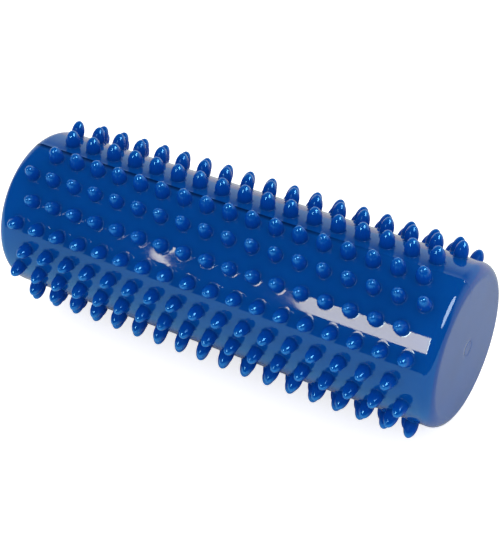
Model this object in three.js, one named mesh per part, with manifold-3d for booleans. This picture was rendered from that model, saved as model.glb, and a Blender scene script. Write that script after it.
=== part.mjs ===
// Spiky massage roller: a hollow soft plastic shell, moulded in one piece with its spikes,
// and the small stopper that closes the air hole in one end.
// Millimetres. The origin is the middle of the roller, X is the rolling axis with the air hole
// at +X, and +Z runs through the upper parting line.

import * as THREE from 'three';
import * as BufferGeometryUtils from 'three/addons/utils/BufferGeometryUtils.js';
import Module from 'manifold-3d';

const wasm = await Module();
wasm.setup();

// Shell
const bodyRadius = 29;
const rimRadius = 4.3;
const sideWall = 3;
const endWall = 3;
const innerCornerRadius = 1.5;
const endMargin = 9.9; // from the last spike of a long row to the end face

// Spikes
const spikeHeight = 6;
const spikeRootRadius = 2.6;
const spikeTipRadius = 1.8;
const spikeSink = 1.2; // how deep a spike's root runs into the wall
const spikePitch = 9.07; // between the spikes of a row
const longRowSpikes = 18;
const rowsPerHalf = 10; // short and long rows take turns from one parting line to the other
const partingGapDegrees = 19.4; // between the two rows beside a parting line

// Parting lines, where the two halves of the mould met
const partingLineWidth = 0.8;
const partingLineHeight = 0.2;

// Air hole and stopper
const stopperHeadDiameter = 5.2;
const stopperHeadThickness = 1.2;
const stopperHeadRounding = 0.3;
const stopperRecess = 0.3; // of the head below the end face
const stopperStemDiameter = 2.6;
const stopperRibDiameter = 3;
const stopperRibPitch = 2.4;
const stopperRibs = 2;
const stopperReach = 1; // of the stem into the hollow, past the collar
const stopperClearance = 0.3;
const collarDiameter = 12;
const collarDepth = 5;
const collarDraftDegrees = 8;

// Facets
const facetHalfDegrees = 6; // of the flat that each row of spikes stands on
const spikeSides = 6;
const rimSteps = 3;
const tipSteps = 1;
const shoulderDegrees = 22; // up the round of a spike's tip, where its flank ends
const innerCornerSteps = 2;
const hollowSides = 20;
const collarSides = 20;
const stopperSides = 20;
const cutOverrun = 1;

const radians = THREE.MathUtils.degToRad;
const bodyLength = (longRowSpikes - 1) * spikePitch + 2 * endMargin;
const rowStepDegrees = (180 - partingGapDegrees) / (rowsPerHalf - 1);

const shellMaterial = new THREE.MeshStandardMaterial({
  name: 'soft_blue_plastic',
  color: 0x0b3fa0,
  roughness: 0.22,
  metalness: 0,
});
const stopperMaterial = new THREE.MeshStandardMaterial({
  name: 'stopper_blue_plastic',
  color: 0x0d4099,
  roughness: 0.35,
  metalness: 0,
});

function toSolid(geometry) {
  const bare = geometry.clone();
  bare.deleteAttribute('normal');
  bare.deleteAttribute('uv');
  const merged = BufferGeometryUtils.mergeVertices(bare);
  return new wasm.Manifold(new wasm.Mesh({
    numProp: 3,
    vertProperties: new Float32Array(merged.attributes.position.array),
    triVerts: new Uint32Array(merged.index.array),
  }));
}

function toGeometry(solid) {
  const { vertProperties, triVerts } = solid.getMesh();
  const geometry = new THREE.BufferGeometry();
  geometry.setAttribute('position', new THREE.BufferAttribute(vertProperties, 3));
  geometry.setIndex(new THREE.BufferAttribute(triVerts, 1));
  geometry.computeVertexNormals();
  return geometry;
}

// Points of a round corner, from one angle to another about a centre (r, x).
function cornerArc(centreR, centreX, radius, fromDegrees, toDegrees, steps) {
  const points = [];
  for (let step = 0; step <= steps; step += 1) {
    const angle = radians(fromDegrees + (toDegrees - fromDegrees) * step / steps);
    points.push(new THREE.Vector2(centreR + radius * Math.cos(angle), centreX + radius * Math.sin(angle)));
  }
  return points;
}

// A profile of (radius, x) points, turned about the X axis, with its first meridian at +Z.
function turnAboutX(profile, sides) {
  const geometry = new THREE.LatheGeometry(profile, sides);
  geometry.rotateZ(-Math.PI / 2);
  return geometry;
}

// A round drum with rounded ends, as the profile of its upper half.
function drumProfile(radius, length, cornerRadius, steps) {
  const cornerR = radius - cornerRadius;
  const cornerX = length / 2 - cornerRadius;
  return [
    new THREE.Vector2(0, -length / 2),
    ...cornerArc(cornerR, -cornerX, cornerRadius, -90, 0, steps),
    ...cornerArc(cornerR, cornerX, cornerRadius, 0, 90, steps),
    new THREE.Vector2(0, length / 2),
  ];
}

// Angle of a row from the upper parting line, for rows counted all the way round.
function rowDegrees(row) {
  const half = Math.floor(row / rowsPerHalf);
  return half * 180 + partingGapDegrees / 2 + (row % rowsPerHalf) * rowStepDegrees;
}

// Every row stands on a flat facet of its own, so the meridians lie in pairs beside the rows.
function gatherMeridians(geometry) {
  const position = geometry.attributes.position;
  const meridians = 4 * rowsPerHalf;
  for (let i = 0; i < position.count; i += 1) {
    const y = position.getY(i);
    const z = position.getZ(i);
    const turn = Math.atan2(-y, z) / (2 * Math.PI);
    const meridian = (Math.round(turn * meridians) + meridians) % meridians;
    const side = meridian % 2 === 0 ? -1 : 1;
    const angle = radians(rowDegrees(Math.floor(meridian / 2)) + side * facetHalfDegrees);
    const radius = Math.hypot(y, z);
    position.setY(i, -radius * Math.sin(angle));
    position.setZ(i, radius * Math.cos(angle));
  }
  return geometry;
}

function makeDrum() {
  const profile = drumProfile(bodyRadius, bodyLength, rimRadius, rimSteps);
  return toSolid(gatherMeridians(turnAboutX(profile, 4 * rowsPerHalf)));
}

function makeHollow() {
  const radius = bodyRadius - sideWall;
  const length = bodyLength - 2 * endWall;
  return toSolid(turnAboutX(drumProfile(radius, length, innerCornerRadius, innerCornerSteps), hollowSides));
}

// One spike about Z, with its root at z = 0: a tapered flank up to a shoulder on the round tip.
// Its corners stand out until the facets hold as much as the round spike does.
// Two of its flats face along the row's sides.
function spikeGeometry() {
  const tip = cornerArc(0, spikeHeight - spikeTipRadius, spikeTipRadius, shoulderDegrees, 90, tipSteps);
  tip[tip.length - 1].x = 0;
  const taper = (spikeRootRadius - tip[0].x) / tip[0].y;
  const geometry = new THREE.LatheGeometry([
    new THREE.Vector2(0, -spikeSink),
    new THREE.Vector2(spikeRootRadius + taper * spikeSink, -spikeSink),
    ...tip,
  ], spikeSides, Math.PI / spikeSides);
  const sector = 2 * Math.PI / spikeSides;
  const cornerShare = Math.sqrt(sector / Math.sin(sector));
  geometry.scale(cornerShare, 1, cornerShare);
  geometry.rotateX(Math.PI / 2);
  return geometry;
}

// All spikes of one row, standing on the row's facet.
function rowOfSpikes(row) {
  const count = row % 2 === (row < rowsPerHalf ? 0 : 1) ? longRowSpikes - 1 : longRowSpikes;
  const spikes = [];
  for (let k = 0; k < count; k += 1) {
    const spike = spikeGeometry();
    spike.translate((k - (count - 1) / 2) * spikePitch, 0, bodyRadius);
    spike.rotateX(radians(rowDegrees(row)));
    spikes.push(toSolid(spike));
  }
  return spikes;
}

// A low ridge along the body, on top for side 1 and below for side -1.
function partingLine(side) {
  const foot = bodyRadius - sideWall / 2;
  const top = bodyRadius + partingLineHeight;
  const ridge = new THREE.BoxGeometry(bodyLength - 2 * rimRadius, partingLineWidth, top - foot);
  ridge.translate(0, 0, side * (foot + top) / 2);
  return toSolid(ridge);
}

// A tapered collar inside the end wall, which gives the stopper its grip.
function makeCollar() {
  const wallMiddle = bodyLength / 2 - endWall / 2;
  const innerFace = bodyLength / 2 - endWall - collarDepth;
  const draft = Math.tan(radians(collarDraftDegrees)) * (wallMiddle - innerFace);
  return toSolid(turnAboutX([
    new THREE.Vector2(0, innerFace),
    new THREE.Vector2(collarDiameter / 2 - draft, innerFace),
    new THREE.Vector2(collarDiameter / 2, wallMiddle),
    new THREE.Vector2(0, wallMiddle),
  ], collarSides));
}

// The stopper's main places along X.
const headTop = bodyLength / 2 - stopperRecess;
const headUnderside = headTop - stopperHeadThickness;
const stemEnd = bodyLength / 2 - endWall - collarDepth - stopperReach;

// What the stopper needs, with its clearance: a seat for the head and a hole for the ribbed stem.
function makeAirHole() {
  const holeRadius = stopperRibDiameter / 2 + stopperClearance;
  const seatRadius = stopperHeadDiameter / 2 + stopperClearance;
  const seatFloor = headUnderside - stopperClearance;
  return toSolid(turnAboutX([
    new THREE.Vector2(0, stemEnd),
    new THREE.Vector2(holeRadius, stemEnd),
    new THREE.Vector2(holeRadius, seatFloor),
    new THREE.Vector2(seatRadius, seatFloor),
    new THREE.Vector2(seatRadius, bodyLength / 2 + cutOverrun),
    new THREE.Vector2(0, bodyLength / 2 + cutOverrun),
  ], stopperSides));
}

function makeShell() {
  let shell = makeDrum().subtract(makeHollow()).add(makeCollar());
  for (let row = 0; row < 2 * rowsPerHalf; row += 1) {
    for (const spike of rowOfSpikes(row)) {
      shell = shell.add(spike);
    }
  }
  shell = shell.add(partingLine(1)).add(partingLine(-1)).subtract(makeAirHole());
  const mesh = new THREE.Mesh(toGeometry(shell), shellMaterial);
  mesh.name = 'roller_shell';
  return mesh;
}

// A flat round head on a stem with raised sealing ribs.
function makeStopper() {
  const stemRadius = stopperStemDiameter / 2;
  const ribRadius = stopperRibDiameter / 2;
  const headRadius = stopperHeadDiameter / 2;
  const ribRise = ribRadius - stemRadius;
  const profile = [
    new THREE.Vector2(0, stemEnd),
    new THREE.Vector2(stemRadius - ribRise, stemEnd),
    new THREE.Vector2(stemRadius, stemEnd + ribRise),
  ];
  for (let rib = 1; rib <= stopperRibs; rib += 1) {
    const middle = stemEnd + rib * stopperRibPitch;
    profile.push(new THREE.Vector2(stemRadius, middle - 2 * ribRise));
    profile.push(new THREE.Vector2(ribRadius, middle));
    profile.push(new THREE.Vector2(stemRadius, middle + 2 * ribRise));
  }
  profile.push(
    new THREE.Vector2(stemRadius, headUnderside),
    new THREE.Vector2(headRadius, headUnderside),
    ...cornerArc(headRadius - stopperHeadRounding, headTop - stopperHeadRounding, stopperHeadRounding, 0, 90, 2),
    new THREE.Vector2(0, headTop),
  );
  const mesh = new THREE.Mesh(turnAboutX(profile, stopperSides), stopperMaterial);
  mesh.name = 'valve_stopper';
  return mesh;
}

const roller = new THREE.Group();
roller.name = 'spiky_massage_roller';
roller.add(makeShell(), makeStopper());

export default roller;
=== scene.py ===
"""Looks of the spiky massage roller: a hollow shell of glossy soft plastic, moulded in one with its
350 blunt spikes, and the small stopper that closes the air hole in one end.

Metres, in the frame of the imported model: X is the rolling axis with the air hole at +X, and +Z runs
through the upper parting line. The shell and the stopper are worked out in millimetres, which MM
turns into metres.
"""

import math

import bmesh
import bpy
from mathutils import Matrix, Vector


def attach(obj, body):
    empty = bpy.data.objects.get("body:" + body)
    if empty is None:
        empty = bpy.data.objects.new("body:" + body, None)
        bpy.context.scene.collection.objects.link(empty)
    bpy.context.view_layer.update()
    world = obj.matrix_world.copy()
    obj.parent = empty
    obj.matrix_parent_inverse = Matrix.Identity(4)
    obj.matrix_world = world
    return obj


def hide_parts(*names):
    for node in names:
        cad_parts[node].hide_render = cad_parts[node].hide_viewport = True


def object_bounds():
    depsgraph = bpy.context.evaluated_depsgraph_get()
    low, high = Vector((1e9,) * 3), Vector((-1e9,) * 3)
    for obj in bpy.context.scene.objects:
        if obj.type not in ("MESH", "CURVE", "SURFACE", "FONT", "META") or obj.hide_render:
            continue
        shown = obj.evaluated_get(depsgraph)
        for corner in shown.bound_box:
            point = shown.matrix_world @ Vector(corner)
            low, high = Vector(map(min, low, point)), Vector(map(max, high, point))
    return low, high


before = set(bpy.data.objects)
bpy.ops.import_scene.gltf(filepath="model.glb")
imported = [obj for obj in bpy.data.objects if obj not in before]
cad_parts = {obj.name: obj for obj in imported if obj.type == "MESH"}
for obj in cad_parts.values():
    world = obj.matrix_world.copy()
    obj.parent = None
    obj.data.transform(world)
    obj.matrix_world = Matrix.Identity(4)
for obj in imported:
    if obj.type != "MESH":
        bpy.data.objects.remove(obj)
cad_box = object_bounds()

MM = 0.001

# Shell, in millimetres
BODY_RADIUS = 29.0
RIM_RADIUS = 4.3
SIDE_WALL = 3.0
END_WALL = 3.0
INNER_CORNER = 1.5
SPIKE_PITCH = 9.07
LONG_ROW_SPIKES = 18
END_MARGIN = 9.9
ROWS_PER_HALF = 10
PARTING_GAP_DEGREES = 19.4
BODY_LENGTH = (LONG_ROW_SPIKES - 1) * SPIKE_PITCH + 2 * END_MARGIN
HALF_LENGTH = BODY_LENGTH / 2
ROW_STEP_DEGREES = (180 - PARTING_GAP_DEGREES) / (ROWS_PER_HALF - 1)
END_DISH = 0.08

# Spikes: half an egg, widest a little above the body. Those beside a parting line are stouter
SPIKE_HEIGHT = 5.92
SPIKE_RADIUS = 2.4
SEAM_SPIKE_RADIUS = 2.64
WIDEST_HEIGHT = 1.5
CAP_DEGREES = 62.0

# The flare at a spike's foot: a gentle skirt, which takes a share of its height, and a tight round
FLARE_HEIGHT = 0.3
FLARE_REACH = 1.2
FLARE_SKIRT_SHARE = 0.2
SKIRT_POWER = 2
ROUND_POWER = 8

# Parting line: the rear half stands a little proud of the front one along the body and,
# less so, over the rims and ends. The shares are of its height, from its crest outwards
PARTING_HALF_WIDTH = 0.394
PARTING_SHOULDER = 0.16
PARTING_HEIGHT = 0.13
END_PARTING_HEIGHT = 0.01
FRONT_RIDGE_SHARES = (1.0, 0.3)
REAR_RIDGE_SHARES = (1.0, 0.95, 0.6)

# The painted shade in front of the parting line, a dark edge standing in for the shade beside its
# ridge.
# It fades out forwards, towards the air hole's end and down the rims
SEAM_WIDTH = 0.4
SEAM_REACH = 1.9
SEAM_REAR_FADE = 0.2
SEAM_FADE_START = 23.0
SEAM_FADE_END = 58.0
SEAM_DEPTH = 1.0
SEAM_HEIGHTS = (BODY_RADIUS - RIM_RADIUS, BODY_RADIUS - SEAM_DEPTH)

# Waves of the soft wall: millimetres to a radian along X, turns round the body, start and weight
WAVES = ((11, 2, 0, 1.0), (17, -3, 1, 1.0), (6.3, 5, 2, 0.6))
WAVE_HEIGHT = 0.018

# Air hole and stopper
HEAD_RADIUS = 2.6
HEAD_THICKNESS = 1.2
HEAD_EDGE = 0.1
HEAD_RECESS = 0.08
STEM_RADIUS = 1.3
RIB_RADIUS = 1.5
RIB_PITCH = 2.4
RIBS = 2
STOPPER_REACH = 1.0
CLEARANCE = 0.06
COLLAR_RADIUS = 6.0
COLLAR_DEPTH = 5.0
COLLAR_DRAFT_DEGREES = 8.0
EDGE_ROUND = 0.08

# A rib's outline, in heights of the rib: how far along the stem and how far out
RIB_OUTLINE = ((-2, 0), (-1.4, 0.2), (-0.7, 0.8), (0, 1), (0.7, 0.8), (1.4, 0.2), (2, 0))

# Mesh: six columns and six lines to a spike's cell, so that rows half a pitch apart share their points
CELL = 6
HALF_CELL = CELL // 2
CELL_RING = 4 * CELL
STRIP = 4
HALF_STRIP = STRIP // 2
LINES_PER_HALF = ROWS_PER_HALF * CELL + STRIP
LINES = 2 * LINES_PER_HALF
LAST_COLUMN = LONG_ROW_SPIKES * HALF_CELL

# Steps of the mesh up a spike's side and its flare, where they crowd towards the spike, over a rim,
# round a small edge and a larger corner, along the hollow and round the stopper
SIDE_STEPS = 9
FLARE_STEPS = 8
FLARE_CROWDING = 1.5
RIM_STEPS = 8
EDGE_STEPS = 3
CORNER_STEPS = 4
HOLLOW_STEPS = 16
STOPPER_SIDES = 48

# Rings of the end faces: those of both ends, the far end's last and the near end's further ones.
# Inside the near end there is one more, at a share of the flat's radius
END_FACE_RADII = (21, 17, 13, 9.5)
FAR_CAP_RADIUS = 6.0
NEAR_FACE_RADII = (6.5, 4.5)
INNER_RING_SHARE = 0.6

# How far to each side the wall's slope is taken, in millimetres along X and in degrees round it
SLOPE_STEP = 0.5


def face_outwards(mesh):
    """Turns all faces of a closed mesh outwards."""
    work = bmesh.new()
    work.from_mesh(mesh)
    bmesh.ops.recalc_face_normals(work, faces=work.faces)
    work.to_mesh(mesh)
    work.free()


class Skin:
    """A mesh in the making: points in millimetres, each with its share of a spike's height and,
    where that is known, the direction straight out of the wall."""

    def __init__(self):
        self.points = []
        self.shares = []
        self.normals = {}
        self.faces = []

    def add(self, point, share=0.0, normal=None):
        """Adds a point and returns its number."""
        number = len(self.points)
        self.points.append(point)
        self.shares.append(share)
        if normal is not None:
            self.normals[number] = normal
        return number

    def join(self, ring_a, ring_b, closed=True):
        """Quads between two rows of point numbers."""
        count = len(ring_a)
        for i in range(count if closed else count - 1):
            j = (i + 1) % count
            self.faces.append((ring_a[i], ring_a[j], ring_b[j], ring_b[i]))

    def to_object(self, name):
        mesh = bpy.data.meshes.new(name)
        mesh.from_pydata([tuple(c * MM for c in p) for p in self.points], [], self.faces)
        share = mesh.attributes.new("spike_share", "FLOAT", "POINT")
        share.data.foreach_set("value", self.shares)
        mesh.polygons.foreach_set("use_smooth", [True] * len(mesh.polygons))
        face_outwards(mesh)
        if self.normals:
            found = [self.normals.get(vertex.index, vertex.normal) for vertex in mesh.vertices]
            mesh.normals_split_custom_set_from_vertices([tuple(normal) for normal in found])
        mesh.update()
        obj = bpy.data.objects.new(name, mesh)
        bpy.context.scene.collection.objects.link(obj)
        return obj


def ring_place(i, j):
    """Which square ring a grid place lies on, and where along that ring from the +i side."""
    k = max(abs(i), abs(j))
    if k == 0:
        return 0, 0
    if i == k:
        step = j
    elif j == k:
        step = 2 * k - i
    elif i == -k:
        step = 4 * k - j
    else:
        step = 6 * k + i
    return k, step % (8 * k)


def square_ring(k):
    """The grid places of one square ring, in order from the middle of its +i side."""
    span = range(-k, k + 1)
    places = [(i, j) for i in span for j in span if max(abs(i), abs(j)) == k]
    return sorted(places, key=lambda place: ring_place(*place)[1])


def fill_ring(skin, edge, point_at, share_at):
    """Closes a ring of 8n points with a round grid of quads. point_at takes a share of the radius
    and an angle, and share_at takes a share of the radius."""
    n = len(edge) // 8
    numbers = {place: edge[ring_place(*place)[1]] for place in square_ring(n)}
    for k in range(n):
        for place in square_ring(k):
            step = ring_place(*place)[1]
            angle = 2 * math.pi * step / (8 * k) if k else 0.0
            numbers[place] = skin.add(point_at(k / n, angle), share_at(k / n))
    for i in range(-n, n):
        for j in range(-n, n):
            corners = ((i, j), (i + 1, j), (i + 1, j + 1), (i, j + 1))
            skin.faces.append(tuple(numbers[c] for c in corners))


def arc(center_r, center_x, radius, start, end, steps):
    """Points (radius, x) on a round corner, from one angle in degrees to another, ends included."""
    angles = [math.radians(start + (end - start) * s / steps) for s in range(steps + 1)]
    return [(center_r + radius * math.cos(a), center_x + radius * math.sin(a)) for a in angles]


def egg_point(greatest, degrees):
    """Point (radius, height) on a spike's side, from its widest place at 0 to its top at 90."""
    turn = math.radians(degrees)
    height = WIDEST_HEIGHT + (SPIKE_HEIGHT - WIDEST_HEIGHT) * math.sin(turn)
    return greatest * math.cos(turn), height


def flare_height(share):
    """Height of the flare at a share of its reach."""
    skirt = FLARE_SKIRT_SHARE * share ** SKIRT_POWER
    tight_round = (1 - FLARE_SKIRT_SHARE) * share ** ROUND_POWER
    return FLARE_HEIGHT * (skirt + tight_round)


def spike_profile(greatest):
    """Points (radius, height) up a spike's side, from its flare's foot to the edge of its cap."""
    low = math.degrees(math.asin((FLARE_HEIGHT - WIDEST_HEIGHT) / (SPIKE_HEIGHT - WIDEST_HEIGHT)))
    turns = [low + (CAP_DEGREES - low) * s / SIDE_STEPS for s in range(SIDE_STEPS + 1)]
    side = [egg_point(greatest, turn) for turn in turns]
    shares = [1 - (1 - s / FLARE_STEPS) ** FLARE_CROWDING for s in range(FLARE_STEPS)]
    flare = [(side[0][0] + FLARE_REACH * (1 - share), flare_height(share)) for share in shares]
    return flare + side


def waviness(x, degrees):
    """How far the soft wall lies below true, a few hundredths of a millimetre, as a number below 0."""
    a = math.radians(degrees)
    waves = [
        weight * math.sin(x / length + turns * a + start)
        for length, turns, start, weight in WAVES
    ]
    return WAVE_HEIGHT * (sum(waves) - sum(weight for *_, weight in WAVES))


def row_degrees(row):
    """Angle of a row of spikes from the upper parting line towards -Y."""
    half, place = divmod(row, ROWS_PER_HALF)
    return 180 * half + PARTING_GAP_DEGREES / 2 + place * ROW_STEP_DEGREES


def line_degrees(line, radius):
    """Angle of a line of points. The strip at a parting line keeps its width at every radius."""
    half, place = divmod(line, LINES_PER_HALF)
    edge = math.degrees(math.asin(PARTING_HALF_WIDTH / radius))
    shoulder = math.degrees(math.asin(PARTING_SHOULDER / radius))
    strip = [0, shoulder]
    if place < HALF_STRIP:
        angle = strip[place]
    elif place <= LINES_PER_HALF - HALF_STRIP:
        cells = LINES_PER_HALF - STRIP
        angle = edge + (180 - 2 * edge) * (place - HALF_STRIP) / cells
    else:
        angle = 180 - strip[LINES_PER_HALF - place]
    return 180 * half + angle


def off_strips(line):
    """Whether a line of points lies clear of the strips at the parting lines."""
    return HALF_STRIP < line % LINES_PER_HALF < LINES_PER_HALF - HALF_STRIP


def ridge_share(line):
    """How much of the parting line's height a line of points has: steep in front, gentle behind."""
    half, place = divmod(line, LINES_PER_HALF)
    steps = min(place, LINES_PER_HALF - place)
    shares = REAR_RIDGE_SHARES if half else FRONT_RIDGE_SHARES
    return shares[steps] if steps < len(shares) else 0.0


def on_body(x, degrees, radius):
    """Point at a distance from the X axis, turned from +Z towards -Y."""
    a = math.radians(degrees)
    return (x, -radius * math.sin(a), radius * math.cos(a))


def degrees_of(point):
    """Angle of a point about the X axis, turned from +Z towards -Y."""
    return math.degrees(math.atan2(-point[1], point[2]))


def wall_normal(x, degrees):
    """Direction straight out of the wavy wall."""
    places = (
        (x + SLOPE_STEP, degrees),
        (x - SLOPE_STEP, degrees),
        (x, degrees + SLOPE_STEP),
        (x, degrees - SLOPE_STEP),
    )
    ahead, behind, after, before = (Vector(on_body(*p, BODY_RADIUS + waviness(*p))) for p in places)
    return (after - before).cross(ahead - behind).normalized()


def body_point(column, line):
    """Point of the wavy wall, with the parting line's height on it."""
    x = column * SPIKE_PITCH / CELL
    degrees = line_degrees(line, BODY_RADIUS)
    radius = BODY_RADIUS + waviness(x, degrees) + PARTING_HEIGHT * ridge_share(line)
    return on_body(x, degrees, radius)


class Body:
    """The outer skin's points that neighbours share, made when first asked for."""

    def __init__(self, skin):
        self.skin = skin
        self.numbers = {}

    def at(self, column, line):
        """Number of the point on a column and a line."""
        key = (column, line % LINES)
        if key not in self.numbers:
            point = body_point(*key)
            plain = off_strips(key[1])
            normal = wall_normal(point[0], line_degrees(key[1], BODY_RADIUS)) if plain else None
            self.numbers[key] = self.skin.add(point, normal=normal)
        return self.numbers[key]

    def column_ring(self, column):
        return [self.at(column, line) for line in range(LINES)]

    def plain_patch(self, columns, lines):
        """Plain quads over a range of columns and of lines."""
        for line in range(*lines):
            low = [self.at(c, line) for c in range(columns[0], columns[1] + 1)]
            high = [self.at(c, line + 1) for c in range(columns[0], columns[1] + 1)]
            self.skin.join(low, high, closed=False)


def add_spike(skin, body, column, line, x, degrees, greatest):
    """One spike of a given greatest radius, and the cell of body around it."""
    profile = spike_profile(greatest)
    a = math.radians(degrees)
    out = Vector((0, -math.sin(a), math.cos(a)))
    along = Vector((0, -math.cos(a), -math.sin(a)))
    angles = [2 * math.pi * step / CELL_RING for step in range(CELL_RING)]

    def point_at(radius, angle, height):
        """Point at a radius and an angle about the spike, and a height over the wall below it."""
        place = x + radius * math.cos(angle)
        across = radius * math.sin(angle)
        reach = math.sqrt(BODY_RADIUS ** 2 - across ** 2) + waviness(place, degrees)
        return tuple(Vector((place, 0, 0)) + along * across + out * (reach + height))

    # A ring halfway between the square edge of the cell and the round foot of the flare
    edge = [body.at(column + i, line + j) for i, j in square_ring(HALF_CELL)]
    foot = profile[0][0]
    ring = []
    for number, angle in zip(edge, angles):
        middle = (Vector(skin.points[number]) + Vector(point_at(foot, angle, 0))) / 2
        turn = degrees_of(middle)
        place = on_body(middle.x, turn, BODY_RADIUS + waviness(middle.x, turn))
        ring.append(skin.add(place, normal=wall_normal(middle.x, turn)))
    skin.join(edge, ring)

    # Each level's normals stand square to the profile, and at the foot they are the wall's own
    for level, (radius, height) in enumerate(profile):
        before, after = profile[max(level - 1, 0)], profile[min(level + 1, len(profile) - 1)]
        inwards, upwards = (before[0] - after[0], after[1] - before[1]) if level else (1, 0)
        above = []
        for angle in angles:
            point = point_at(radius, angle, height)
            wall = wall_normal(point[0], degrees_of(point))
            away = Vector((math.cos(angle), 0, 0)) + along * math.sin(angle)
            away = (away - wall * away.dot(wall)).normalized()
            normal = (wall * inwards + away * upwards).normalized()
            above.append(skin.add(point, height / SPIKE_HEIGHT, normal))
        skin.join(ring, above)
        ring = above

    def cap_place(share):
        return egg_point(greatest, 90 - (90 - CAP_DEGREES) * share)

    def cap_point(share, angle):
        radius, height = cap_place(share)
        return point_at(radius, angle, height)

    fill_ring(skin, ring, cap_point, lambda share: cap_place(share)[1] / SPIKE_HEIGHT)


def add_rows(skin, body):
    """Every row of spikes. Short and long rows take turns; a short row leaves half a cell at each
    end. The strips at the parting lines fill the rest."""
    for row in range(2 * ROWS_PER_HALF):
        half, place = divmod(row, ROWS_PER_HALF)
        short = row % 2 == half
        count = LONG_ROW_SPIKES - 1 if short else LONG_ROW_SPIKES
        greatest = SEAM_SPIKE_RADIUS if place in (0, ROWS_PER_HALF - 1) else SPIKE_RADIUS
        first_line = half * LINES_PER_HALF + HALF_STRIP + place * CELL
        for k in range(count):
            pitches = k - (count - 1) / 2
            column = round(pitches * CELL)
            x = pitches * SPIKE_PITCH
            add_spike(skin, body, column, first_line + HALF_CELL, x, row_degrees(row), greatest)
        if short:
            lines = (first_line, first_line + CELL)
            body.plain_patch((-LAST_COLUMN, HALF_CELL - LAST_COLUMN), lines)
            body.plain_patch((LAST_COLUMN - HALF_CELL, LAST_COLUMN), lines)
    for line in (0, LINES_PER_HALF):
        body.plain_patch((-LAST_COLUMN, LAST_COLUMN), (line - HALF_STRIP, line + HALF_STRIP))


def turned_ring(skin, radius, x, ridge=0.0, out=(1, 0), rim=False):
    """A ring of points about the X axis. ridge stands out along out, given as (radius, x) shares.
    A rim's rings carry on the waves of the wall, and face along out."""
    numbers = []
    for line in range(LINES):
        degrees = line_degrees(line, radius)
        lift = ridge * ridge_share(line)
        normal = None
        if rim:
            lift += waviness(x, degrees) * out[0]
            normal = Vector(on_body(out[1], degrees, out[0])) if off_strips(line) else None
        place = on_body(x + lift * out[1], degrees, radius + lift * out[0])
        numbers.append(skin.add(place, normal=normal))
    return numbers


def end_face_x(radius):
    """Distance of the slightly dished end face from the roller's middle."""
    flat = BODY_RADIUS - RIM_RADIUS
    return HALF_LENGTH - END_DISH * (1 - (min(radius, flat) / flat) ** 2)


def add_end(skin, ring, side, radii):
    """The rounded rim and the end face, from the body's last ring inwards. Returns the innermost
    ring. The parting line gets lower over the rim, and the ring that touches the CAD box has none."""
    rim = arc(BODY_RADIUS - RIM_RADIUS, HALF_LENGTH - RIM_RADIUS, RIM_RADIUS, 0, 90, RIM_STEPS)
    rings = []
    for step, (radius, x) in enumerate(rim):
        turn = math.radians(90 * step / RIM_STEPS)
        lowered = (PARTING_HEIGHT - END_PARTING_HEIGHT) * math.cos(turn) ** 2
        ridge = END_PARTING_HEIGHT + lowered if step < RIM_STEPS else 0.0
        rings.append((radius, x, ridge, (math.cos(turn), math.sin(turn))))
    for radius in radii:
        rings.append((radius, end_face_x(radius), END_PARTING_HEIGHT, (0, 1)))
    for step, (radius, x, ridge, out) in enumerate(rings):
        new = turned_ring(skin, radius, side * x, ridge, (out[0], side * out[1]), step < len(rim))
        skin.join(ring, new)
        ring = new
    return ring


def add_turned(skin, ring, profile):
    """Rings about the X axis through a profile's (radius, x) points, joined on to a ring. Returns
    the last."""
    for radius, x in profile:
        new = turned_ring(skin, radius, x)
        skin.join(ring, new)
        ring = new
    return ring


def close_end(skin, ring, radius, x):
    """A flat round grid over the last ring."""
    fill_ring(
        skin, ring,
        lambda share, angle: on_body(x, math.degrees(angle), radius * share),
        lambda share: 0.0,
    )


def air_hole_profile():
    """The seat of the stopper's head, the bore, the collar inside and the hollow's wall to its far
    end."""
    seat_radius = HEAD_RADIUS + CLEARANCE
    hole_radius = RIB_RADIUS + CLEARANCE
    mouth_x = end_face_x(seat_radius)
    seat_x = HALF_LENGTH - HEAD_RECESS - HEAD_THICKNESS - CLEARANCE
    wall_x = HALF_LENGTH - END_WALL
    collar_x = wall_x - COLLAR_DEPTH
    draft = math.tan(math.radians(COLLAR_DRAFT_DEGREES)) * COLLAR_DEPTH
    collar_end = COLLAR_RADIUS - draft
    inner_radius = BODY_RADIUS - SIDE_WALL
    corner_r = inner_radius - INNER_CORNER
    corner_x = wall_x - INNER_CORNER
    small = EDGE_ROUND
    large = 2 * EDGE_ROUND
    side = [(inner_radius, corner_x - 2 * corner_x * s / HOLLOW_STEPS) for s in range(1, HOLLOW_STEPS)]
    return [
        *arc(seat_radius + small, mouth_x - small, small, 90, 180, EDGE_STEPS),
        *arc(seat_radius - small, seat_x + small, small, 0, -90, EDGE_STEPS),
        *arc(hole_radius + small, seat_x - small, small, 90, 180, EDGE_STEPS),
        (hole_radius, (seat_x + collar_x) / 2),
        *arc(hole_radius + small, collar_x + small, small, 180, 270, EDGE_STEPS),
        *arc(collar_end - large, collar_x + large, large, -90, 0, EDGE_STEPS),
        *arc(COLLAR_RADIUS + large, wall_x - large, large, 180, 90, EDGE_STEPS),
        (corner_r * INNER_RING_SHARE, wall_x),
        *arc(corner_r, corner_x, INNER_CORNER, 90, 0, CORNER_STEPS),
        *side,
        *arc(corner_r, -corner_x, INNER_CORNER, 0, -90, CORNER_STEPS),
    ]


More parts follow.
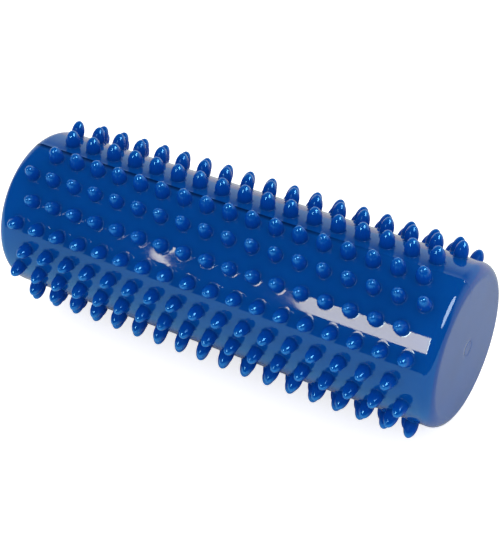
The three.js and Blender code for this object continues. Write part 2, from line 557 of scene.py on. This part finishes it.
def make_shell():
    """The whole shell as one closed skin: spikes, rims, ends, air hole and hollow."""
    skin = Skin()
    body = Body(skin)
    add_rows(skin, body)
    far = add_end(skin, body.column_ring(-LAST_COLUMN), -1, (*END_FACE_RADII, FAR_CAP_RADIUS))
    close_end(skin, far, FAR_CAP_RADIUS, -end_face_x(FAR_CAP_RADIUS))
    near = add_end(skin, body.column_ring(LAST_COLUMN), 1, (*END_FACE_RADII, *NEAR_FACE_RADII))
    inner = add_turned(skin, near, air_hole_profile())
    close_end(skin, inner, BODY_RADIUS - SIDE_WALL - INNER_CORNER, END_WALL - HALF_LENGTH)
    return skin.to_object("moulded_shell")


def stopper_profile():
    """Points (radius, x) of the stopper from the stem's inner end to the edge of its head."""
    top = HALF_LENGTH - HEAD_RECESS
    under = top - HEAD_THICKNESS
    stem_end = HALF_LENGTH - END_WALL - COLLAR_DEPTH - STOPPER_REACH
    rise = RIB_RADIUS - STEM_RADIUS
    end_round = 2 * rise
    points = arc(STEM_RADIUS - end_round, stem_end + end_round, end_round, -90, 0, CORNER_STEPS)
    for rib in range(1, RIBS + 1):
        middle = stem_end + rib * RIB_PITCH
        points += [(STEM_RADIUS + rise * lift, middle + rise * share) for share, lift in RIB_OUTLINE]
    points += arc(STEM_RADIUS + EDGE_ROUND, under - EDGE_ROUND, EDGE_ROUND, 180, 90, EDGE_STEPS)
    points += arc(HEAD_RADIUS - EDGE_ROUND, under + EDGE_ROUND, EDGE_ROUND, -90, 0, EDGE_STEPS)
    points += arc(HEAD_RADIUS - HEAD_EDGE, top - HEAD_EDGE, HEAD_EDGE, 0, 90, CORNER_STEPS)
    return points


def make_stopper():
    """The stopper as one turned piece, with round grids of quads on both ends."""
    skin = Skin()
    profile = stopper_profile()
    turns = [360 * s / STOPPER_SIDES for s in range(STOPPER_SIDES)]
    rings = [[skin.add(on_body(x, turn, radius)) for turn in turns] for radius, x in profile]
    for low, high in zip(rings, rings[1:]):
        skin.join(low, high)
    for end in (0, -1):
        close_end(skin, rings[end], *profile[end])
    return skin.to_object("air_hole_stopper")


class Nodes:
    """The nodes of a material or world. A value is a number, a colour or another node's output."""

    def __init__(self, owner):
        owner.use_nodes = True
        self.tree = owner.node_tree

    def add(self, kind):
        return self.tree.nodes.new("ShaderNode" + kind)

    def put(self, value, socket):
        """Sets a socket to a number or colour, or links an output to it."""
        if isinstance(value, bpy.types.NodeSocket):
            self.tree.links.new(value, socket)
        elif isinstance(value, tuple):
            socket.default_value = (*value, 1)
        else:
            socket.default_value = value

    def noise(self, place, scale, detail):
        node = self.add("TexNoise")
        node.inputs["Scale"].default_value = scale
        node.inputs["Detail"].default_value = detail
        self.tree.links.new(place, node.inputs["Vector"])
        return node.outputs["Fac"]

    def separate(self, vector):
        node = self.add("SeparateXYZ")
        self.tree.links.new(vector, node.inputs[0])
        return node.outputs

    def calculate(self, operation, *values):
        node = self.add("Math")
        node.operation = operation
        for value, socket in zip(values, node.inputs):
            self.put(value, socket)
        return node.outputs[0]

    def remap(self, value, low, high, to_low=0.0, to_high=1.0, kind="LINEAR"):
        """Carries the range from low to high over to another, and holds the result inside it."""
        node = self.add("MapRange")
        node.interpolation_type = kind
        node.inputs["From Min"].default_value = low
        node.inputs["From Max"].default_value = high
        node.inputs["To Min"].default_value = to_low
        node.inputs["To Max"].default_value = to_high
        self.tree.links.new(value, node.inputs["Value"])
        return node.outputs["Result"]

    def blend(self, factor, low, high, kind="RGBA"):
        """A colour or, of kind FLOAT, a number between two others."""
        node = self.add("Mix")
        node.data_type = kind
        for value, name in ((factor, "Factor"), (low, "A"), (high, "B")):
            self.put(value, node.inputs[name])
        return node.outputs["Result"]


# Soft plastic. A pair of shares says over which part of a spike's height a change comes in or goes
BODY_COLOR = (0.001, 0.064, 0.31)
FLANK_COLOR = (0.001, 0.061, 0.375)
FLANK_SHARES = (0.03, 0.3)
TIP_COLOR = (0.001, 0.1, 0.44)
TIP_SHARES = (0.65, 1.0)
# Painted shade: the dark colour along the front of the parting line
SEAM_SHADE_COLOR = (0.0005, 0.01, 0.06)
SEAM_SHADE_STRENGTH = 0.85
SHELL_ROUGHNESS = 0.04
STOPPER_ROUGHNESS = 0.08
ROUGHNESS_SPREAD = (0.75, 1.3)
SIDE_FOOT_SHARES = (0.002, 0.007)
SIDE_TOP_SHARES = (0.5, 0.65)
SIDE_ROUGHNESS = 0.27
SIDE_SPECULAR = 0.08
PLASTIC_SPECULAR = 0.5
SPECKLE_SHARES = (0.7, 0.93)
SPECKLE_ROUGHNESS = 0.42
SPECKLE_EDGE = (0.56, 0.64)
TINT = (1.0, 1.0, 0.95)
SPIKE_TINT = (0.25, 0.66, 0.95)
TINT_SHARES = (0.05, 0.3)
IOR = 1.47
TIP_IOR = 2.1
IOR_SHARES = (0.66, 0.93)
MOTTLE = (0.94, 1.06)
NOISE_RANGE = (0.3, 0.7)
PEEL_STRENGTH = 0.06
PEEL_DISTANCE = 0.00004
SUBSURFACE = 0.2
SUBSURFACE_RADIUS = (0.1, 0.35, 1.0)
SUBSURFACE_SCALE = 0.0012

# Scale and detail of each noise
MOTTLE_NOISE = (55, 3)
ROUGHNESS_NOISE = (120, 4)
SPECKLE_NOISE = (3200, 1)
PEEL_NOISE = (420, 2)


def painted_seam_shade(nodes, place):
    """How strong the painted shade in front of the parting line is: on the outside only, above and
    below.
    """
    parts = nodes.separate(place)
    before = nodes.remap(parts["Y"], -SEAM_REACH * MM, -SEAM_WIDTH * MM)
    behind = nodes.remap(parts["Y"], 0.0, SEAM_REAR_FADE * MM, 1.0, 0.0)
    along = nodes.remap(parts["X"], SEAM_FADE_START * MM, SEAM_FADE_END * MM, SEAM_SHADE_STRENGTH, 0.0)
    heights = [height * MM for height in SEAM_HEIGHTS]
    outside = nodes.remap(nodes.calculate("ABSOLUTE", parts["Z"]), *heights)
    edge = nodes.calculate("MULTIPLY", nodes.calculate("MULTIPLY", before, behind), along)
    return nodes.calculate("MULTIPLY", edge, outside)


def plastic_color(nodes, place, share):
    """Blue, lighter up the spikes, with painted shade before the parting line and a faint mottle."""
    flank = nodes.blend(nodes.remap(share, *FLANK_SHARES), BODY_COLOR, FLANK_COLOR)
    tip = nodes.blend(nodes.remap(share, *TIP_SHARES), flank, TIP_COLOR)
    # Painted shade: darkens the colour along the front of the parting line
    seam_shaded = nodes.blend(painted_seam_shade(nodes, place), tip, SEAM_SHADE_COLOR)
    mottle = nodes.add("HueSaturation")
    value = nodes.remap(nodes.noise(place, *MOTTLE_NOISE), *NOISE_RANGE, *MOTTLE)
    nodes.put(seam_shaded, mottle.inputs["Color"])
    nodes.put(value, mottle.inputs["Value"])
    return mottle.outputs["Color"]


def plastic_roughness(nodes, place, share, on_side, roughness):
    """Nearly polished, satin on the spikes' sides and finely speckled on their tips."""
    low, high = (roughness * spread for spread in ROUGHNESS_SPREAD)
    smooth = nodes.remap(nodes.noise(place, *ROUGHNESS_NOISE), *NOISE_RANGE, low, high)
    satin = nodes.blend(on_side, smooth, SIDE_ROUGHNESS, "FLOAT")
    specks = nodes.remap(nodes.noise(place, *SPECKLE_NOISE), *SPECKLE_EDGE)
    speckle = nodes.calculate("MULTIPLY", specks, nodes.remap(share, *SPECKLE_SHARES))
    return nodes.blend(speckle, satin, SPECKLE_ROUGHNESS, "FLOAT")


def soft_plastic(name, roughness):
    """Glossy blue soft plastic that lets a little light through. Its gloss is bluish on the spikes,
    weak on their sides and strong on their tips."""
    material = bpy.data.materials.new(name)
    nodes = Nodes(material)
    shader = nodes.tree.nodes["Principled BSDF"].inputs
    place = nodes.add("TexCoord").outputs["Object"]
    height = nodes.add("Attribute")
    height.attribute_name = "spike_share"
    share = height.outputs["Fac"]
    above_foot = nodes.remap(share, *SIDE_FOOT_SHARES)
    on_side = nodes.calculate("MULTIPLY", above_foot, nodes.remap(share, *SIDE_TOP_SHARES, 1.0, 0.0))
    peel = nodes.add("Bump")
    peel.inputs["Strength"].default_value = PEEL_STRENGTH
    peel.inputs["Distance"].default_value = PEEL_DISTANCE
    nodes.put(nodes.noise(place, *PEEL_NOISE), peel.inputs["Height"])
    tint = nodes.blend(nodes.remap(share, *TINT_SHARES), TINT, SPIKE_TINT)
    specular = nodes.remap(on_side, 0.0, 1.0, PLASTIC_SPECULAR, SIDE_SPECULAR)
    nodes.put(plastic_color(nodes, place, share), shader["Base Color"])
    nodes.put(plastic_roughness(nodes, place, share, on_side, roughness), shader["Roughness"])
    nodes.put(peel.outputs["Normal"], shader["Normal"])
    nodes.put(specular, shader["Specular IOR Level"])
    nodes.put(tint, shader["Specular Tint"])
    nodes.put(nodes.remap(share, *IOR_SHARES, IOR, TIP_IOR), shader["IOR"])
    shader["Subsurface Weight"].default_value = SUBSURFACE
    shader["Subsurface Radius"].default_value = SUBSURFACE_RADIUS
    shader["Subsurface Scale"].default_value = SUBSURFACE_SCALE
    return material


# Floor, in metres. A pair of places along Y says where one mirrored colour gives way to the next
FLOOR_FRONT = 0.42
FLOOR_BACK = 6.0
FLOOR_SIDE = 6.0
FLOOR_COLOR = (0.86, 0.86, 0.86)
FLOOR_ROUGHNESS = 0.9
FLOOR_WHITENING = 0.68
FLOOR_MIRRORED = (0.75, 0.78, 0.68)
FLOOR_MIRRORED_BACK = (1.0, 0.94, 0.8)
FLOOR_MIRRORED_FRONT = (0.5, 0.9, 1.0)
FLOOR_FRONT_GLOW = (0.06, 0.325, 0.47)
FLOOR_BACK_PLACES = (0.1, 0.2)
FLOOR_FRONT_PLACES = (-0.016, -0.038)

# World and lamps. The backdrop's depths and heights are those of a direction of length 1
WHITE = (1.0, 1.0, 1.0)
AMBIENT = 1.05
DARK_STUDIO = 0.01
BACKDROP_DEPTHS = (0.1, 0.4)
BACKDROP_HEIGHTS = (0.3, 0.72)
STUDIO_COLOR = (0.7, 0.97, 1.05)
SOFTBOX_COLOR = (0.73, 0.685, 0.56)
RIGHT_COLOR = (0.66, 0.84, 1.0)
LAMP_COLOR = (0.72, 0.92, 0.89)


def floor_material():
    """A pale floor, whitened where the camera sees it. In reflections it is warm white far behind
    the roller, greyer near it, and glows light blue in front of it."""
    material = bpy.data.materials.new("pale_floor")
    nodes = Nodes(material)
    shader = nodes.tree.nodes["Principled BSDF"].inputs
    shader["Roughness"].default_value = FLOOR_ROUGHNESS
    shader["Specular IOR Level"].default_value = 0.0
    path = nodes.add("LightPath").outputs
    mirrored = nodes.calculate("MAXIMUM", path["Is Glossy Ray"], path["Is Transmission Ray"])
    depth = nodes.separate(nodes.add("TexCoord").outputs["Object"])["Y"]
    back = nodes.remap(depth, *FLOOR_BACK_PLACES, kind="SMOOTHSTEP")
    front = nodes.remap(depth, *FLOOR_FRONT_PLACES, kind="SMOOTHSTEP")
    behind = nodes.blend(back, FLOOR_MIRRORED, FLOOR_MIRRORED_BACK)
    seen = nodes.blend(front, behind, FLOOR_MIRRORED_FRONT)
    glow = nodes.calculate("MULTIPLY", mirrored, front)
    strength = nodes.calculate("MULTIPLY_ADD", path["Is Camera Ray"], FLOOR_WHITENING, glow)
    nodes.put(nodes.blend(mirrored, FLOOR_COLOR, seen), shader["Base Color"])
    nodes.put(nodes.blend(mirrored, WHITE, FLOOR_FRONT_GLOW), shader["Emission Color"])
    nodes.put(strength, shader["Emission Strength"])
    return material


def add_floor(z):
    """The floor, whose front edge lies before the roller."""
    mesh = bpy.data.meshes.new("floor")
    corners = [
        (-FLOOR_SIDE, -FLOOR_FRONT, z),
        (FLOOR_SIDE, -FLOOR_FRONT, z),
        (FLOOR_SIDE, FLOOR_BACK, z),
        (-FLOOR_SIDE, FLOOR_BACK, z),
    ]
    mesh.from_pydata(corners, [], [(0, 1, 2, 3)])
    mesh.materials.append(floor_material())
    floor = bpy.data.objects.new("floor", mesh)
    bpy.context.scene.collection.objects.link(floor)


def make_world():
    """White where the camera looks past the floor. Reflections show a dark, bluish studio with a low
    bright backdrop behind, and everything else gets an even soft light."""
    world = bpy.data.worlds.new("studio")
    nodes = Nodes(world)
    bpy.context.scene.world = world
    background = nodes.tree.nodes["Background"].inputs
    path = nodes.add("LightPath").outputs
    parts = nodes.separate(nodes.add("TexCoord").outputs["Generated"])
    behind = nodes.remap(parts["Y"], *BACKDROP_DEPTHS, kind="SMOOTHSTEP")
    low = nodes.remap(parts["Z"], *BACKDROP_HEIGHTS, 1.0, 0.0, kind="SMOOTHSTEP")
    reflected = nodes.blend(nodes.calculate("MULTIPLY", behind, low), DARK_STUDIO, 1.0, "FLOAT")
    unseen = nodes.blend(path["Is Glossy Ray"], AMBIENT, reflected, "FLOAT")
    nodes.put(nodes.blend(path["Is Camera Ray"], unseen, 1.0, "FLOAT"), background["Strength"])
    nodes.put(nodes.blend(path["Is Glossy Ray"], WHITE, STUDIO_COLOR), background["Color"])


def add_softbox(name, corner, along, up, radiance, color, shape="RECTANGLE"):
    """A softbox from one corner and the two sides of its frame, seen only as a reflection."""
    corner, along, up = Vector(corner), Vector(along), Vector(up)
    width, height = along.length, up.length
    center = corner + (along + up) / 2
    light = bpy.data.lights.new(name, "AREA")
    light.shape = shape
    light.size = width
    light.size_y = height
    light.energy = radiance * math.pi * width * height
    light.color = color
    lamp = bpy.data.objects.new(name, light)
    lamp.visible_diffuse = False
    x_axis = along.normalized()
    z_axis = x_axis.cross(up.normalized()).normalized()
    if z_axis.dot(center) < 0:
        x_axis, z_axis = -x_axis, -z_axis
    y_axis = z_axis.cross(x_axis)
    turn = Matrix((x_axis, y_axis, z_axis)).transposed().to_4x4()
    lamp.matrix_world = Matrix.Translation(center) @ turn
    bpy.context.scene.collection.objects.link(lamp)


def add_lamps():
    """The lamps that the plastic mirrors, each where its reflection lies in the photograph."""
    # The tall softbox in front on the left, whose reflection lies below the third row of spikes
    add_softbox(
        "front_softbox", corner=(-0.188, -0.916, 0.362), along=(-0.17, 0.0, 0.0), up=(0.0, 0.19, 0.303),
        radiance=17, color=SOFTBOX_COLOR,
    )
    # The narrow strip on its left
    add_softbox(
        "narrow_softbox", corner=(-0.4695, -0.854, 0.328), along=(-0.015, 0.0003, 0.00042),
        up=(0.014, 0.225, 0.335), radiance=19, color=SOFTBOX_COLOR,
    )
    # The oval lamp above on the right, which gives the rim its crescent
    add_softbox(
        "right_softbox", corner=(0.2915, 0.198, 0.782), along=(0.134, -0.575, -0.118),
        up=(0.29, 0.103, -0.173), radiance=11, color=RIGHT_COLOR, shape="ELLIPSE",
    )
    # The slim bright lamp on the right of the front softbox
    add_softbox(
        "left_lamp", corner=(-0.137, -0.916, 0.362), along=(-0.05, 0.0, 0.0), up=(0.0, 0.19, 0.303),
        radiance=40, color=LAMP_COLOR,
    )


# Camera, at the photograph's viewing angle
CAMERA_PLACE = (0.22518, -0.34478, 0.35136)
CAMERA_TARGET = (0.0033, -0.0003, -0.0023)
CAMERA_ROLL_DEGREES = -3.86
CAMERA_LENS = 98.27
CAMERA_SENSOR = 36
CAMERA_NEAREST = 0.01
CAMERA_FARTHEST = 50


def add_camera():
    camera = bpy.data.cameras.new("camera")
    camera.sensor_width = CAMERA_SENSOR
    camera.lens = CAMERA_LENS
    camera.clip_start = CAMERA_NEAREST
    camera.clip_end = CAMERA_FARTHEST
    holder = bpy.data.objects.new("camera", camera)
    look = Vector(CAMERA_TARGET) - Vector(CAMERA_PLACE)
    turn = look.to_track_quat("-Z", "Y").to_matrix().to_4x4()
    roll = Matrix.Rotation(math.radians(CAMERA_ROLL_DEGREES), 4, "Z")
    holder.matrix_world = Matrix.Translation(CAMERA_PLACE) @ turn @ roll
    bpy.context.scene.collection.objects.link(holder)
    bpy.context.scene.camera = holder


shell = make_shell()
shell.data.materials.append(soft_plastic("blue_soft_plastic", SHELL_ROUGHNESS))
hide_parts("roller_shell")
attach(shell, "shell")

stopper = make_stopper()
stopper.data.materials.append(soft_plastic("stopper_soft_plastic", STOPPER_ROUGHNESS))
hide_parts("valve_stopper")
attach(stopper, "stopper")

add_floor(cad_box[0][2])
make_world()
add_lamps()
add_camera()
bpy.context.scene.view_settings.view_transform = "Standard"
